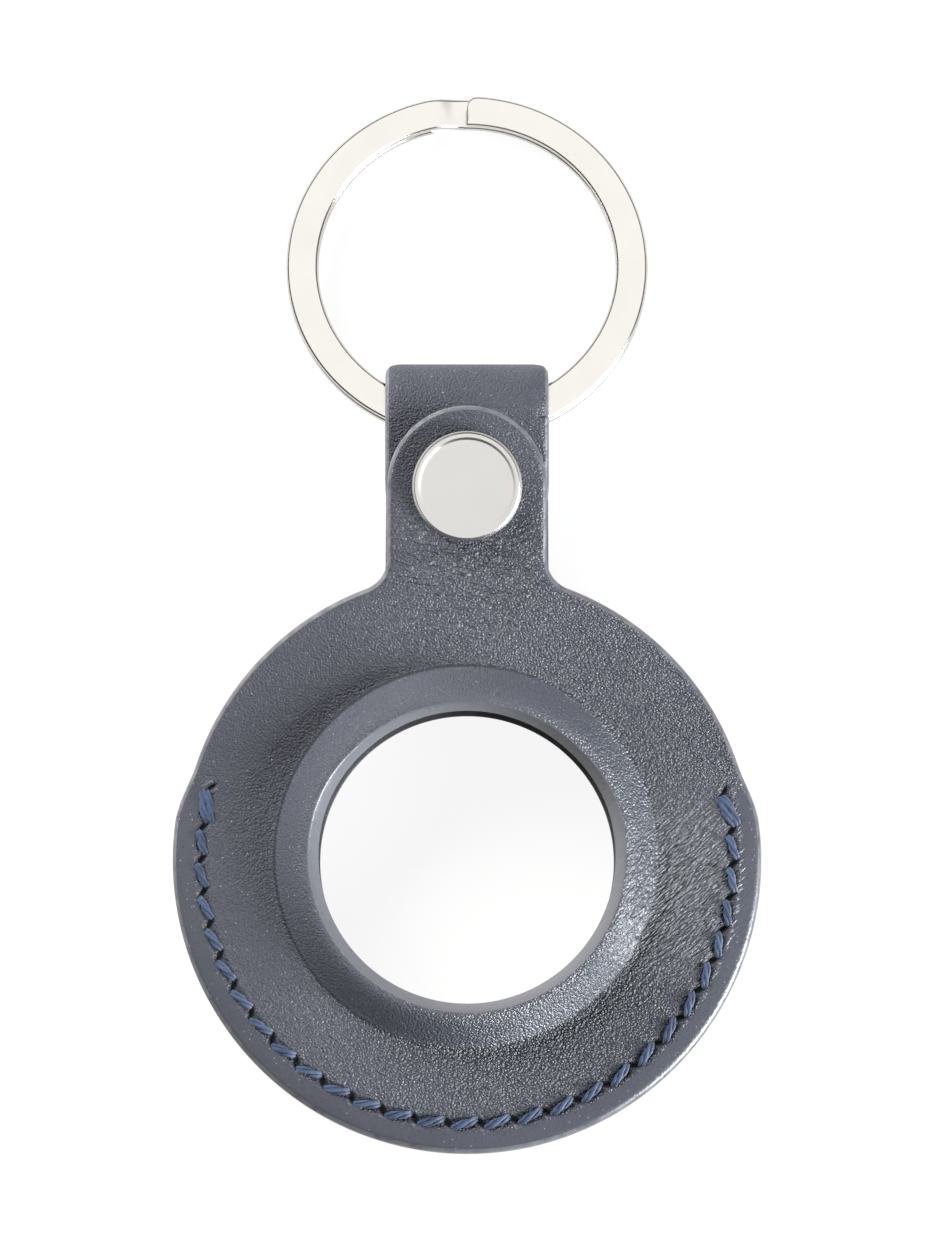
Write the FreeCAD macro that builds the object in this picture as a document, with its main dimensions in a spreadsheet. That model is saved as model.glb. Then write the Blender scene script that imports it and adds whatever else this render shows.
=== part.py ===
"""Leather holder for a round tracker tag, with a snap and a split ring.

The holder lies on its back: X to the right, Y from the window towards the ring, Z up out of the front.
The origin is the centre of the window on the surface that the holder lies on. Millimetres and degrees.

Two leathers with moulded rims make a pocket, sewn round its lower part. The back leather's strap folds
forward through the ring and ends behind the front leather's tab, where a snap closes the two. The front
leather bends up from the flex line, just above the last stitches, to pass over the fold.
"""
import math
import os

import FreeCAD
import Part
import Sketcher

DRIVING_SIZES = {
    # leathers
    "leather": 1.4,
    "sewn_radius": 26.6,
    "leaf_setback": 0.7,
    "window_radius": 13.3,
    "window_flare": 0.9,
    "crest_width": 0.7,
    "rim_slope_width": 2.5,
    "rim_rise": 2.8,
    "flex_line": 7.0,
    "flex_slit": 0.3,
    "tab_half_width": 7.2,
    "strap_half_width": 7.45,
    "neck_fillet": 3.0,
    # fold of the strap
    "fold_reach": 15.1,
    "fold_inner_radius": 3.1,
    "neck_bend_reach": 0.1,
    "neck_bend_radius": 8.0,
    # snap
    "snap_reach": 7.7,
    "snap_gap": 2.5,
    "snap_clearance": 0.1,
    "post_clearance": 0.05,
    "cap_radius": 5.0,
    "cap_flat_radius": 4.1,
    "cap_height": 1.2,
    "cap_dish": 0.2,
    "cap_post_radius": 1.5,
    "clinch_radius": 2.0,
    "clinch_height": 0.3,
    "socket_radius": 4.2,
    "socket_plate": 0.3,
    "socket_edge": 0.4,
    "stud_flange_radius": 3.6,
    "stud_flange": 0.35,
    "stud_waist_radius": 1.7,
    "stud_head_radius": 2.0,
    "stud_head_height": 0.5,
    "head_chamfer": 0.2,
    "socket_play": 0.45,
    "spring_wire": 0.35,
    "spring_groove_play": 0.08,
    "stud_post_radius": 1.1,
    "stud_post_flange_radius": 3.0,
    "stud_post_flange": 0.5,
    # stitches
    "stitch_inset": 2.6,
    "stitch_start_angle": 169.8,
    "stitch_row_angle": 199.4,
    "stitch_pitch": 2.98,
    "stitch_length": 2.4,
    "stitch_width": 0.9,
    "stitch_height": 0.4,
    "stitch_slant_angle": 17.0,
    "doubled_ratio": 1.35,
    # split ring
    "ring_radius": 16.7,
    "ring_band": 2.95,
    "wire_height": 0.85,
    "wire_chamfer": 0.26,
    "coil_gap": 0.1,
    "jog_angle": 13.0,
    "end_rounding": 1.0,
    "ring_clearance": 0.3,
    "table_gap": 0.05,
}

# Sizes and places that follow from the driving ones, in an order in which each uses those above it.
FITTED_SIZES = {
    # The rim grows out from the window. The seam, snap and fold keep their distances from the disc's edge.
    "crest_inner_radius": "dims.window_radius + dims.window_flare",
    "crest_outer_radius": "fit.crest_inner_radius + dims.crest_width",
    "rim_foot_radius": "fit.crest_outer_radius + dims.rim_slope_width",
    "leaf_radius": "dims.sewn_radius - dims.leaf_setback",
    "neck_bend_distance": "fit.leaf_radius + dims.neck_bend_reach",
    "snap_distance": "fit.leaf_radius + dims.snap_reach",
    "fold_distance": "fit.leaf_radius + dims.fold_reach",
    # The crest of the back rim lies on the table.
    "back_face": "dims.rim_rise",
    "seam_level": "fit.back_face + dims.leather",
    "front_face": "fit.seam_level + dims.leather",
    "crest_level": "fit.front_face + dims.rim_rise",
    # The slope's leather has the same thickness as the flat, so its inner corners are set in by a mitre.
    "rim_slope": "atan2(dims.rim_rise; dims.rim_slope_width)",
    "rim_mitre": "dims.leather * tan(fit.rim_slope / 2)",
    "rim_inner_foot": "fit.rim_foot_radius - fit.rim_mitre",
    "rim_inner_crest": "fit.crest_outer_radius - fit.rim_mitre",
    # The fold lies on the table, and the leaf is tilted so that its tab passes over it by the snap's gap.
    "fold_radius": "dims.fold_inner_radius + dims.leather",
    "fold_middle_radius": "dims.fold_inner_radius + dims.leather / 2",
    "fold_arm": "fit.fold_distance - dims.flex_line",
    "fold_drop": "fit.front_face - fit.fold_radius",
    "tab_rise": "dims.leather + dims.snap_gap + fit.fold_radius",
    "leaf_tilt": "asin(fit.tab_rise / hypot(fit.fold_arm; fit.fold_drop))"
                 " - atan2(fit.fold_drop; fit.fold_arm)",
    "fold_flat_distance": "dims.flex_line + fit.fold_arm * cos(fit.leaf_tilt)"
                          " - fit.fold_drop * sin(fit.leaf_tilt)",
    "strap_end_face": "fit.front_face - dims.leather - dims.snap_gap",
    "strap_end_back": "fit.strap_end_face - dims.leather",
    # The neck bends down by this angle, so that the strap meets the fold as a tangent.
    "neck_level": "fit.back_face + dims.leather / 2",
    "bend_rise": "fit.fold_radius - fit.neck_level + dims.neck_bend_radius",
    "bend_reach": "fit.fold_distance - fit.neck_bend_distance",
    "bend_span": "dims.neck_bend_radius + fit.fold_middle_radius",
    "neck_bend": "asin(fit.bend_span / hypot(fit.bend_reach; fit.bend_rise))"
                 " - atan2(fit.bend_rise; fit.bend_reach)",
    # snap
    "leaf_back": "fit.front_face - dims.leather",
    "socket_mouth": "fit.strap_end_face + dims.stud_flange + dims.snap_clearance",
    "socket_roof": "fit.leaf_back - dims.socket_plate",
    "socket_bore": "dims.stud_head_radius + dims.socket_play",
    "stud_top": "fit.socket_roof - dims.clinch_height - dims.snap_clearance",
    "stud_neck": "fit.stud_top - dims.stud_head_height",
    "spring_inner_radius": "dims.stud_waist_radius + dims.snap_clearance",
    "spring_level": "fit.stud_neck - dims.snap_clearance - dims.spring_wire / 2",
    "groove_half_height": "dims.spring_wire / 2 + dims.spring_groove_play",
    "groove_radius": "fit.spring_inner_radius + dims.spring_wire + dims.socket_play",
    # stitches
    "stitch_radius": "dims.sewn_radius - dims.stitch_inset",
    "stitch_count": "round(dims.stitch_row_angle * pi / 180 * fit.stitch_radius / dims.stitch_pitch) + 1",
    # split ring
    "ring_inner_radius": "dims.ring_radius - dims.ring_band",
    "ring_half_height": "dims.wire_height + dims.coil_gap / 2",
    "ring_slack": "sqrt((dims.fold_inner_radius - dims.ring_clearance)^2 - fit.ring_half_height^2)",
    "ring_offset": "sqrt(fit.ring_inner_radius^2 - dims.strap_half_width^2) + fit.ring_slack",
    "ring_reach": "fit.ring_offset + dims.ring_radius",
    "ring_tilt": "asin((fit.fold_radius - dims.table_gap) / hypot(fit.ring_reach; fit.ring_half_height))"
                 " - atan2(fit.ring_half_height; fit.ring_reach)",
}

# Cuts through a whole sheet reach this many sewn radii from the window's centre.
CUT_REACH = 3

# The ring's jog is lofted through this many steps.
JOG_STEPS = 6

# Flats that stand for the round wire of the snap's spring.
SPRING_FLATS = 8

document = FreeCAD.newDocument("tag_holder")


def make_sheet(name, cells):
    """A spreadsheet with one aliased row for each named size."""
    sheet = document.addObject("Spreadsheet::Sheet", name)
    for row, (alias, content) in enumerate(cells.items(), start=1):
        sheet.set(f"A{row}", alias)
        sheet.set(f"B{row}", content)
        sheet.setAlias(f"B{row}", alias)
    document.recompute()
    return sheet


dims = make_sheet("dims", {alias: str(number) for alias, number in DRIVING_SIZES.items()})
fit = make_sheet("fit", {alias: "=" + formula for alias, formula in FITTED_SIZES.items()})


def value(expression):
    """The number that an expression over the two sheets gives now."""
    result = dims.evalExpression(expression)
    return float(getattr(result, "Value", result))


def bind(target, **expressions):
    """Ties properties to expressions. A double underscore in a name stands for a dot."""
    for path, expression in expressions.items():
        target.setExpression(path.replace("__", "."), expression)


def make_body(name):
    body = document.addObject("PartDesign::Body", name)
    body.Label = name
    return body


def make_sketch(body, name, plane, lift="0", turn="0"):
    """A sketch on one of the body's planes, lifted along its normal and turned about its upright axis."""
    sketch = body.newObject("Sketcher::SketchObject", f"{body.Name}_{name}")
    sketch.AttachmentSupport = [(next(f for f in body.Origin.OriginFeatures if f.Role == plane), "")]
    sketch.MapMode = "FlatFace"
    sketch.AttachmentOffset = FreeCAD.Placement(
        FreeCAD.Vector(), FreeCAD.Rotation(FreeCAD.Vector(0, 1, 0), value(turn)))
    bind(sketch, AttachmentOffset__Base__z=lift, AttachmentOffset__Rotation__Angle=turn)
    return sketch


def point(x, y):
    return FreeCAD.Vector(value(x), value(y), 0)


def constrain(sketch, kind, *references, size=None):
    """Adds a constraint, bound to an expression where it has a size."""
    if size is None:
        sketch.addConstraint(Sketcher.Constraint(kind, *references))
        return
    index = sketch.addConstraint(Sketcher.Constraint(kind, *references, value(size)))
    sketch.setExpression(f"Constraints[{index}]", size)


def pin(sketch, geometry, end, x, y):
    """Holds one point of a sketch at the place that two expressions give."""
    for kind, axis, size in (("DistanceX", -2, x), ("DistanceY", -1, y)):
        if size == "0":
            constrain(sketch, "PointOnObject", geometry, end, axis)
        else:
            constrain(sketch, kind, -1, 1, geometry, end, size=size)


def draw_polygon(sketch, corners):
    """A closed outline of straight lines through corners given as pairs of expressions."""
    first = sketch.GeometryCount
    count = len(corners)
    for index in range(count):
        sketch.addGeometry(Part.LineSegment(point(*corners[index]), point(*corners[(index + 1) % count])))
    for index in range(count):
        constrain(sketch, "Coincident", first + index, 2, first + (index + 1) % count, 1)
        pin(sketch, first + index, 1, *corners[index])


def draw_circle(sketch, x, y, radius):
    index = sketch.addGeometry(Part.Circle(point(x, y), FreeCAD.Vector(0, 0, 1), value(radius)))
    pin(sketch, index, 3, x, y)
    constrain(sketch, "Radius", index, size=radius)


def draw_arc(sketch, centre, radius, start, end):
    """An arc with a bound radius, first drawn about a centre between two angles in radians."""
    circle = Part.Circle(centre, FreeCAD.Vector(0, 0, 1), value(radius))
    index = sketch.addGeometry(Part.ArcOfCircle(circle, start, end))
    constrain(sketch, "Radius", index, size=radius)
    return index


def pad(body, sketch, length):
    feature = body.newObject("PartDesign::Pad", f"{sketch.Name}_pad")
    feature.Profile = sketch
    bind(feature, Length=length)
    document.recompute()
    return feature


def cut_away(body, sketch):
    """Removes everything in front of and behind a closed outline."""
    feature = body.newObject("PartDesign::Pocket", f"{sketch.Name}_cut")
    feature.Profile = sketch
    feature.SideType = "Symmetric"
    bind(feature, Length=f"2 * {CUT_REACH} * dims.sewn_radius")
    before = feature.BaseFeature.Shape.Volume
    document.recompute()
    if not feature.Shape.Volume < before:
        raise RuntimeError(f"{feature.Name} removed nothing")
    return feature


def revolve(body, sketch, angle="360"):
    feature = body.newObject("PartDesign::Revolution", f"{sketch.Name}_turned")
    feature.Profile = sketch
    feature.ReferenceAxis = (sketch, ["V_Axis"])
    bind(feature, Angle=angle)
    document.recompute()
    return feature


def turned_piece(name, corners):
    """A piece turned about the snap's axis from corners given as pairs of radius and level."""
    body = make_body(name)
    sketch = make_sketch(body, "profile", "XZ_Plane", lift="-fit.snap_distance")
    draw_polygon(sketch, corners)
    revolve(body, sketch)
    return body


def tilt_with_leaf(body):
    """Turns a piece that is drawn flat up about the flex line, as the front leaf bends."""
    body.Placement = FreeCAD.Placement(FreeCAD.Vector(), FreeCAD.Rotation(FreeCAD.Vector(1, 0, 0), 1))
    bind(body,
         Placement__Rotation__Angle="fit.leaf_tilt",
         Placement__Base__y="dims.flex_line * (1 - cos(fit.leaf_tilt)) + fit.front_face * sin(fit.leaf_tilt)",
         Placement__Base__z="fit.front_face * (1 - cos(fit.leaf_tilt)) - dims.flex_line * sin(fit.leaf_tilt)")


def draw_necked_disc(sketch, half_width, round_end):
    """A disc with a neck, filleted into it. The neck ends round at the snap or square at its bend."""
    disc_radius, fillet = value("fit.leaf_radius"), value("dims.neck_fillet")
    half, end = value(half_width), value("fit.snap_distance" if round_end else "fit.neck_bend_distance")
    fillet_x = half + fillet
    fillet_y = ((disc_radius + fillet) ** 2 - fillet_x ** 2) ** 0.5
    side = FreeCAD.Vector(fillet_x, fillet_y).getAngle(FreeCAD.Vector(1, 0))
    disc = draw_arc(sketch, FreeCAD.Vector(), "fit.leaf_radius", math.pi - side, math.tau + side)
    pin(sketch, disc, 3, "0", "0")
    right = draw_arc(sketch, FreeCAD.Vector(fillet_x, fillet_y), "dims.neck_fillet",
                     math.pi, math.pi + side)
    left = draw_arc(sketch, FreeCAD.Vector(-fillet_x, fillet_y), "dims.neck_fillet",
                    math.tau - side, math.tau)
    right_side = sketch.addGeometry(Part.LineSegment(
        FreeCAD.Vector(half, fillet_y), FreeCAD.Vector(half, end)))
    left_side = sketch.addGeometry(Part.LineSegment(
        FreeCAD.Vector(-half, end), FreeCAD.Vector(-half, fillet_y)))
    constrain(sketch, "Tangent", disc, 2, right, 2)
    constrain(sketch, "Tangent", right, 1, right_side, 1)
    constrain(sketch, "Tangent", left_side, 2, left, 2)
    constrain(sketch, "Tangent", left, 1, disc, 1)
    constrain(sketch, "Vertical", right_side)
    constrain(sketch, "Vertical", left_side)
    if round_end:
        cap = draw_arc(sketch, FreeCAD.Vector(0, end), half_width, 0, math.pi)
        pin(sketch, cap, 3, "0", "fit.snap_distance")
        constrain(sketch, "Tangent", right_side, 2, cap, 1)
        constrain(sketch, "Tangent", cap, 2, left_side, 1)
        return
    top = sketch.addGeometry(Part.LineSegment(FreeCAD.Vector(half, end), FreeCAD.Vector(-half, end)))
    constrain(sketch, "Coincident", right_side, 2, top, 1)
    constrain(sketch, "Coincident", top, 2, left_side, 1)
    pin(sketch, top, 1, half_width, "fit.neck_bend_distance")
    pin(sketch, top, 2, f"-{half_width}", "fit.neck_bend_distance")


def draw_rim(sketch, face, back, crest, crest_back):
    """Half section of the moulded rim, from its foot up the slope to the crest and the cut edge."""
    draw_polygon(sketch, [
        ("fit.rim_foot_radius", face),
        ("fit.crest_outer_radius", crest),
        ("fit.crest_inner_radius", crest),
        ("dims.window_radius", crest_back),
        ("fit.rim_inner_crest", crest_back),
        ("fit.rim_inner_foot", back),
        ("fit.rim_foot_radius", back),
    ])


def add_front_rim(body):
    sketch = make_sketch(body, "rim", "XZ_Plane")
    draw_rim(sketch, "fit.front_face", "fit.leaf_back", "fit.crest_level", "fit.crest_level - dims.leather")
    revolve(body, sketch)


def make_front_panel():
    """The sewn part of the front leather, below the flex line."""
    body = make_body("front_panel")
    outline = make_sketch(body, "outline", "XY_Plane", lift="fit.seam_level")
    draw_circle(outline, "0", "0", "dims.sewn_radius")
    draw_circle(outline, "0", "0", "fit.rim_inner_foot")
    pad(body, outline, "dims.leather")
    add_front_rim(body)
    above = make_sketch(body, "above_flex_line", "XY_Plane")
    reach = f"{CUT_REACH} * dims.sewn_radius"
    draw_polygon(above, [(f"-{reach}", "dims.flex_line"), (reach, "dims.flex_line"), (reach, reach),
                         (f"-{reach}", reach)])
    cut_away(body, above)
    return body


def make_front_leaf():
    """The free part of the front leather, with the neck and tab: drawn flat, then bent up."""
    body = make_body("front_leaf")
    outline = make_sketch(body, "outline", "XY_Plane", lift="fit.seam_level")
    draw_necked_disc(outline, "dims.tab_half_width", round_end=True)
    draw_circle(outline, "0", "0", "fit.rim_inner_foot")
    draw_circle(outline, "0", "fit.snap_distance", "dims.cap_post_radius + dims.post_clearance")
    pad(body, outline, "dims.leather")
    add_front_rim(body)
    below = make_sketch(body, "below_flex_line", "YZ_Plane")
    reach = f"{CUT_REACH} * dims.sewn_radius"
    edge = "dims.flex_line + dims.flex_slit / cos(fit.leaf_tilt)"
    lean = f"{reach} * tan(fit.leaf_tilt)"
    draw_polygon(below, [(f"{edge} - {lean}", f"fit.front_face - {reach}"),
                         (f"{edge} + {lean}", f"fit.front_face + {reach}"),
                         (f"-{reach}", f"fit.front_face + {reach}"),
                         (f"-{reach}", f"fit.front_face - {reach}")])
    cut_away(body, below)
    tilt_with_leaf(body)
    return body


def add_strap_loop(body):
    """The strap: out of the neck, down to the table and round the fold to the strap end."""
    path = make_sketch(body, "strap_path", "YZ_Plane")
    bend, tilt = math.radians(value("fit.neck_bend")), math.radians(value("fit.leaf_tilt"))
    right_angle = math.pi / 2
    neck = point("fit.leaf_radius - dims.neck_fillet", "fit.neck_level")
    bend_start = point("fit.neck_bend_distance", "fit.neck_level")
    bend_centre = point("fit.neck_bend_distance", "fit.neck_level - dims.neck_bend_radius")
    fold_centre = point("fit.fold_distance", "fit.fold_radius")
    flat = path.addGeometry(Part.LineSegment(neck, bend_start))
    neck_arc = draw_arc(path, bend_centre, "dims.neck_bend_radius", right_angle - bend, right_angle)
    fold_arc = draw_arc(path, fold_centre, "fit.fold_middle_radius", -right_angle - bend, right_angle + tilt)
    run = path.addGeometry(Part.LineSegment(path.getPoint(neck_arc, 1), path.getPoint(fold_arc, 1)))
    pin(path, flat, 1, "fit.leaf_radius - dims.neck_fillet", "fit.neck_level")
    constrain(path, "Horizontal", flat)
    constrain(path, "DistanceX", -1, 1, flat, 2, size="fit.neck_bend_distance")
    constrain(path, "Tangent", flat, 2, neck_arc, 2)
    constrain(path, "Tangent", neck_arc, 1, run, 1)
    constrain(path, "Tangent", run, 2, fold_arc, 1)
    pin(path, fold_arc, 3, "fit.fold_distance", "fit.fold_radius")
    constrain(path, "DistanceX", -1, 1, fold_arc, 2,
              size="fit.fold_distance - fit.fold_middle_radius * sin(fit.leaf_tilt)")
    section = make_sketch(body, "strap_section", "XZ_Plane", lift="dims.neck_fillet - fit.leaf_radius")
    draw_polygon(section, [("-dims.strap_half_width", "fit.back_face"),
                           ("dims.strap_half_width", "fit.back_face"),
                           ("dims.strap_half_width", "fit.seam_level"),
                           ("-dims.strap_half_width", "fit.seam_level")])
    document.recompute()
    loop = body.newObject("PartDesign::AdditivePipe", "strap_loop")
    loop.Profile = section
    loop.Spine = (path, [f"Edge{index + 1}" for index in range(path.GeometryCount)])
    document.recompute()


def make_back_panel():
    """The back leather: the disc with its rim turned down to the table, the neck, and the strap's fold."""
    body = make_body("back_panel")
    upper = make_sketch(body, "upper_outline", "XY_Plane", lift="fit.back_face")
    draw_necked_disc(upper, "dims.strap_half_width", round_end=False)
    draw_circle(upper, "0", "0", "fit.rim_inner_foot")
    pad(body, upper, "dims.leather")
    sewn = make_sketch(body, "sewn_outline", "XY_Plane", lift="fit.back_face")
    lift = math.asin(value("dims.flex_line / dims.sewn_radius"))
    inner_lift = math.asin(value("dims.flex_line / fit.rim_foot_radius"))
    outer = draw_arc(sewn, FreeCAD.Vector(), "dims.sewn_radius", math.pi - lift, math.tau + lift)
    inner = draw_arc(sewn, FreeCAD.Vector(), "fit.rim_foot_radius",
                     math.pi - inner_lift, math.tau + inner_lift)
    for arc in (outer, inner):
        pin(sewn, arc, 3, "0", "0")
    for end in (1, 2):
        edge = sewn.addGeometry(Part.LineSegment(sewn.getPoint(outer, end), sewn.getPoint(inner, end)))
        constrain(sewn, "Coincident", edge, 1, outer, end)
        constrain(sewn, "Coincident", edge, 2, inner, end)
        constrain(sewn, "Horizontal", edge)
        constrain(sewn, "DistanceY", -1, 1, edge, 1, size="dims.flex_line")
    pad(body, sewn, "dims.leather")
    rim = make_sketch(body, "rim", "XZ_Plane")
    draw_rim(rim, "fit.back_face", "fit.seam_level", "0", "dims.leather")
    revolve(body, rim)
    add_strap_loop(body)
    return body


def make_strap_end():
    """The strap's end behind the tab: drawn flat under the leaf, with a round end about the snap."""
    body = make_body("strap_end")
    outline = make_sketch(body, "outline", "XY_Plane", lift="fit.strap_end_back")
    half = value("dims.strap_half_width")
    snap, fold = value("fit.snap_distance"), value("fit.fold_flat_distance - dims.flex_slit")
    end = draw_arc(outline, FreeCAD.Vector(0, snap), "dims.strap_half_width", math.pi, math.tau)
    right = outline.addGeometry(Part.LineSegment(FreeCAD.Vector(half, snap), FreeCAD.Vector(half, fold)))
    top = outline.addGeometry(Part.LineSegment(FreeCAD.Vector(half, fold), FreeCAD.Vector(-half, fold)))
    left = outline.addGeometry(Part.LineSegment(FreeCAD.Vector(-half, fold), FreeCAD.Vector(-half, snap)))
    pin(outline, end, 3, "0", "fit.snap_distance")
    constrain(outline, "Tangent", end, 2, right, 1)
    constrain(outline, "Tangent", left, 2, end, 1)
    constrain(outline, "Coincident", right, 2, top, 1)
    constrain(outline, "Coincident", top, 2, left, 1)
    constrain(outline, "Vertical", right)
    constrain(outline, "Vertical", left)
    constrain(outline, "Horizontal", top)
    constrain(outline, "DistanceY", -1, 1, top, 1, size="fit.fold_flat_distance - dims.flex_slit")
    draw_circle(outline, "0", "fit.snap_distance", "dims.stud_post_radius + dims.post_clearance")
    pad(body, outline, "dims.leather")
    tilt_with_leaf(body)
    return body


def make_snap():
    """The five pieces of the snap, turned about one axis square to the tab."""
    cap_top = "(fit.front_face + dims.cap_height)"
    cap = turned_piece("snap_cap", [
        ("0", "fit.socket_roof - dims.clinch_height"),
        ("dims.clinch_radius", "fit.socket_roof - dims.clinch_height"),
        ("dims.clinch_radius", "fit.socket_roof"),
        ("dims.cap_post_radius", "fit.socket_roof"),
        ("dims.cap_post_radius", "fit.front_face"),
        ("dims.cap_radius - dims.cap_height / 4", "fit.front_face"),
        ("dims.cap_radius", "fit.front_face + dims.cap_height / 3"),
        ("dims.cap_radius", "fit.front_face + dims.cap_height * 2 / 3"),
        ("dims.cap_radius - dims.cap_height / 4", cap_top),
        ("(dims.cap_radius + dims.cap_flat_radius) / 2", cap_top),
        ("dims.cap_flat_radius", f"{cap_top} - dims.cap_dish"),
        ("0", f"{cap_top} - dims.cap_dish"),
    ])
    socket = turned_piece("snap_socket", [
        ("dims.cap_post_radius + dims.post_clearance", "fit.leaf_back"),
        ("dims.socket_radius", "fit.leaf_back"),
        ("dims.socket_radius", "fit.socket_mouth + dims.socket_edge"),
        ("dims.socket_radius - dims.socket_edge", "fit.socket_mouth"),
        ("fit.socket_bore", "fit.socket_mouth"),
        ("fit.socket_bore", "fit.spring_level - fit.groove_half_height"),
        ("fit.groove_radius", "fit.spring_level - fit.groove_half_height"),
        ("fit.groove_radius", "fit.spring_level + fit.groove_half_height"),
        ("fit.socket_bore", "fit.spring_level + fit.groove_half_height"),
        ("fit.socket_bore", "fit.socket_roof"),
        ("dims.cap_post_radius + dims.post_clearance", "fit.socket_roof"),
    ])
    stud = turned_piece("snap_stud", [
        ("dims.stud_post_radius + dims.post_clearance", "fit.strap_end_face"),
        ("dims.stud_flange_radius", "fit.strap_end_face"),
        ("dims.stud_flange_radius", "fit.strap_end_face + dims.stud_flange"),
        ("dims.stud_waist_radius", "fit.strap_end_face + dims.stud_flange"),
        ("dims.stud_waist_radius", "fit.stud_neck"),
        ("dims.stud_head_radius", "fit.stud_neck + dims.head_chamfer"),
        ("dims.stud_head_radius", "fit.stud_top - dims.head_chamfer"),
        ("dims.stud_head_radius - dims.head_chamfer", "fit.stud_top"),
        ("dims.stud_post_radius + dims.post_clearance", "fit.stud_top"),
    ])
    post = turned_piece("snap_post", [
        ("0", "fit.strap_end_back - dims.stud_post_flange"),
        ("dims.stud_post_flange_radius - dims.stud_post_flange / 2",
         "fit.strap_end_back - dims.stud_post_flange"),
        ("dims.stud_post_flange_radius", "fit.strap_end_back - dims.stud_post_flange / 2"),
        ("dims.stud_post_flange_radius", "fit.strap_end_back"),
        ("dims.stud_post_radius", "fit.strap_end_back"),
        ("dims.stud_post_radius", "fit.stud_top"),
        ("0", "fit.stud_top"),
    ])
    spring = make_body("socket_spring")
    wire = make_sketch(spring, "wire", "XZ_Plane", lift="-fit.snap_distance")
    middle = "(fit.spring_inner_radius + dims.spring_wire / 2)"
    wire_corners = []
    for corner in range(SPRING_FLATS):
        turn = f"{360 / SPRING_FLATS * corner} * 1 deg"
        wire_corners.append((f"{middle} + dims.spring_wire / 2 * cos({turn})",
                             f"fit.spring_level + dims.spring_wire / 2 * sin({turn})"))
    draw_polygon(wire, wire_corners)
    revolve(spring, wire)
    snap = [cap, socket, stud, post, spring]
    for piece in snap:
        tilt_with_leaf(piece)
    return snap


def draw_stitch(sketch, size):
    """A slanted lozenge of thread on the stitch line."""
    along = "cos(dims.stitch_slant_angle * 1 deg)"
    across = "sin(dims.stitch_slant_angle * 1 deg)"
    corners = []
    for length, width in ((-0.5, 0), (-0.3, 0.5), (0.3, 0.5), (0.5, 0), (0.3, -0.5), (-0.3, -0.5)):
        lengthwise = f"({length} * {size} * dims.stitch_length)"
        widthwise = f"({width} * {size} * dims.stitch_width)"
        corners.append((f"fit.stitch_radius - {lengthwise} * {across} + {widthwise} * {along}",
                        f"{lengthwise} * {along} + {widthwise} * {across}"))
    draw_polygon(sketch, corners)


def make_stitches(name, level, upward):
    """One face's stitches round the sewn part, seated on the leather. The two end ones are doubled."""
    body = make_body(name)
    foot = level if upward else f"{level} - dims.stitch_height"
    for kind, size, count in (("stitch", "1", "fit.stitch_count"), ("doubled", "dims.doubled_ratio", "2")):
        sketch = make_sketch(body, kind, "XY_Plane", lift=foot)
        draw_stitch(sketch, size)
        stitch = pad(body, sketch, "dims.stitch_height")
        row = body.newObject("PartDesign::PolarPattern", f"{sketch.Name}_row")
        row.Originals = [stitch]
        row.Axis = (sketch, ["N_Axis"])
        bind(row, Angle="dims.stitch_row_angle", Occurrences=count)
        body.Tip = row
        document.recompute()
    bind(body, Placement__Rotation__Angle="dims.stitch_start_angle")
    document.recompute()
    return body


def wire_section(sketch, level):
    """Section of the ring's flat wire with its corners taken off, about a level."""
    chamfer = "dims.wire_chamfer"
    inner, outer = "fit.ring_inner_radius", "dims.ring_radius"
    low, high = f"{level} - dims.wire_height / 2", f"{level} + dims.wire_height / 2"
    draw_polygon(sketch, [
        (f"{inner} + {chamfer}", low), (f"{outer} - {chamfer}", low),
        (outer, f"{low} + {chamfer}"), (outer, f"{high} - {chamfer}"),
        (f"{outer} - {chamfer}", high), (f"{inner} + {chamfer}", high),
        (inner, f"{high} - {chamfer}"), (inner, f"{low} + {chamfer}"),
    ])


def draw_end_corner(sketch):
    """The outer corner of the front turn's free end, outside its rounding."""
    rounding, radius = value("dims.end_rounding"), value("dims.ring_radius")
    arc = draw_arc(sketch, FreeCAD.Vector(rounding, radius - rounding), "dims.end_rounding",
                   math.pi / 2, math.pi)
    pin(sketch, arc, 3, "dims.end_rounding", "dims.ring_radius - dims.end_rounding")
    corner = FreeCAD.Vector(0, radius)
    top = sketch.addGeometry(Part.LineSegment(corner, FreeCAD.Vector(rounding, radius)))
    end = sketch.addGeometry(Part.LineSegment(corner, FreeCAD.Vector(0, radius - rounding)))
    constrain(sketch, "Coincident", top, 1, end, 1)
    constrain(sketch, "Tangent", top, 2, arc, 1)
    constrain(sketch, "Tangent", end, 2, arc, 2)
    constrain(sketch, "Horizontal", top)
    constrain(sketch, "Vertical", end)


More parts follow.
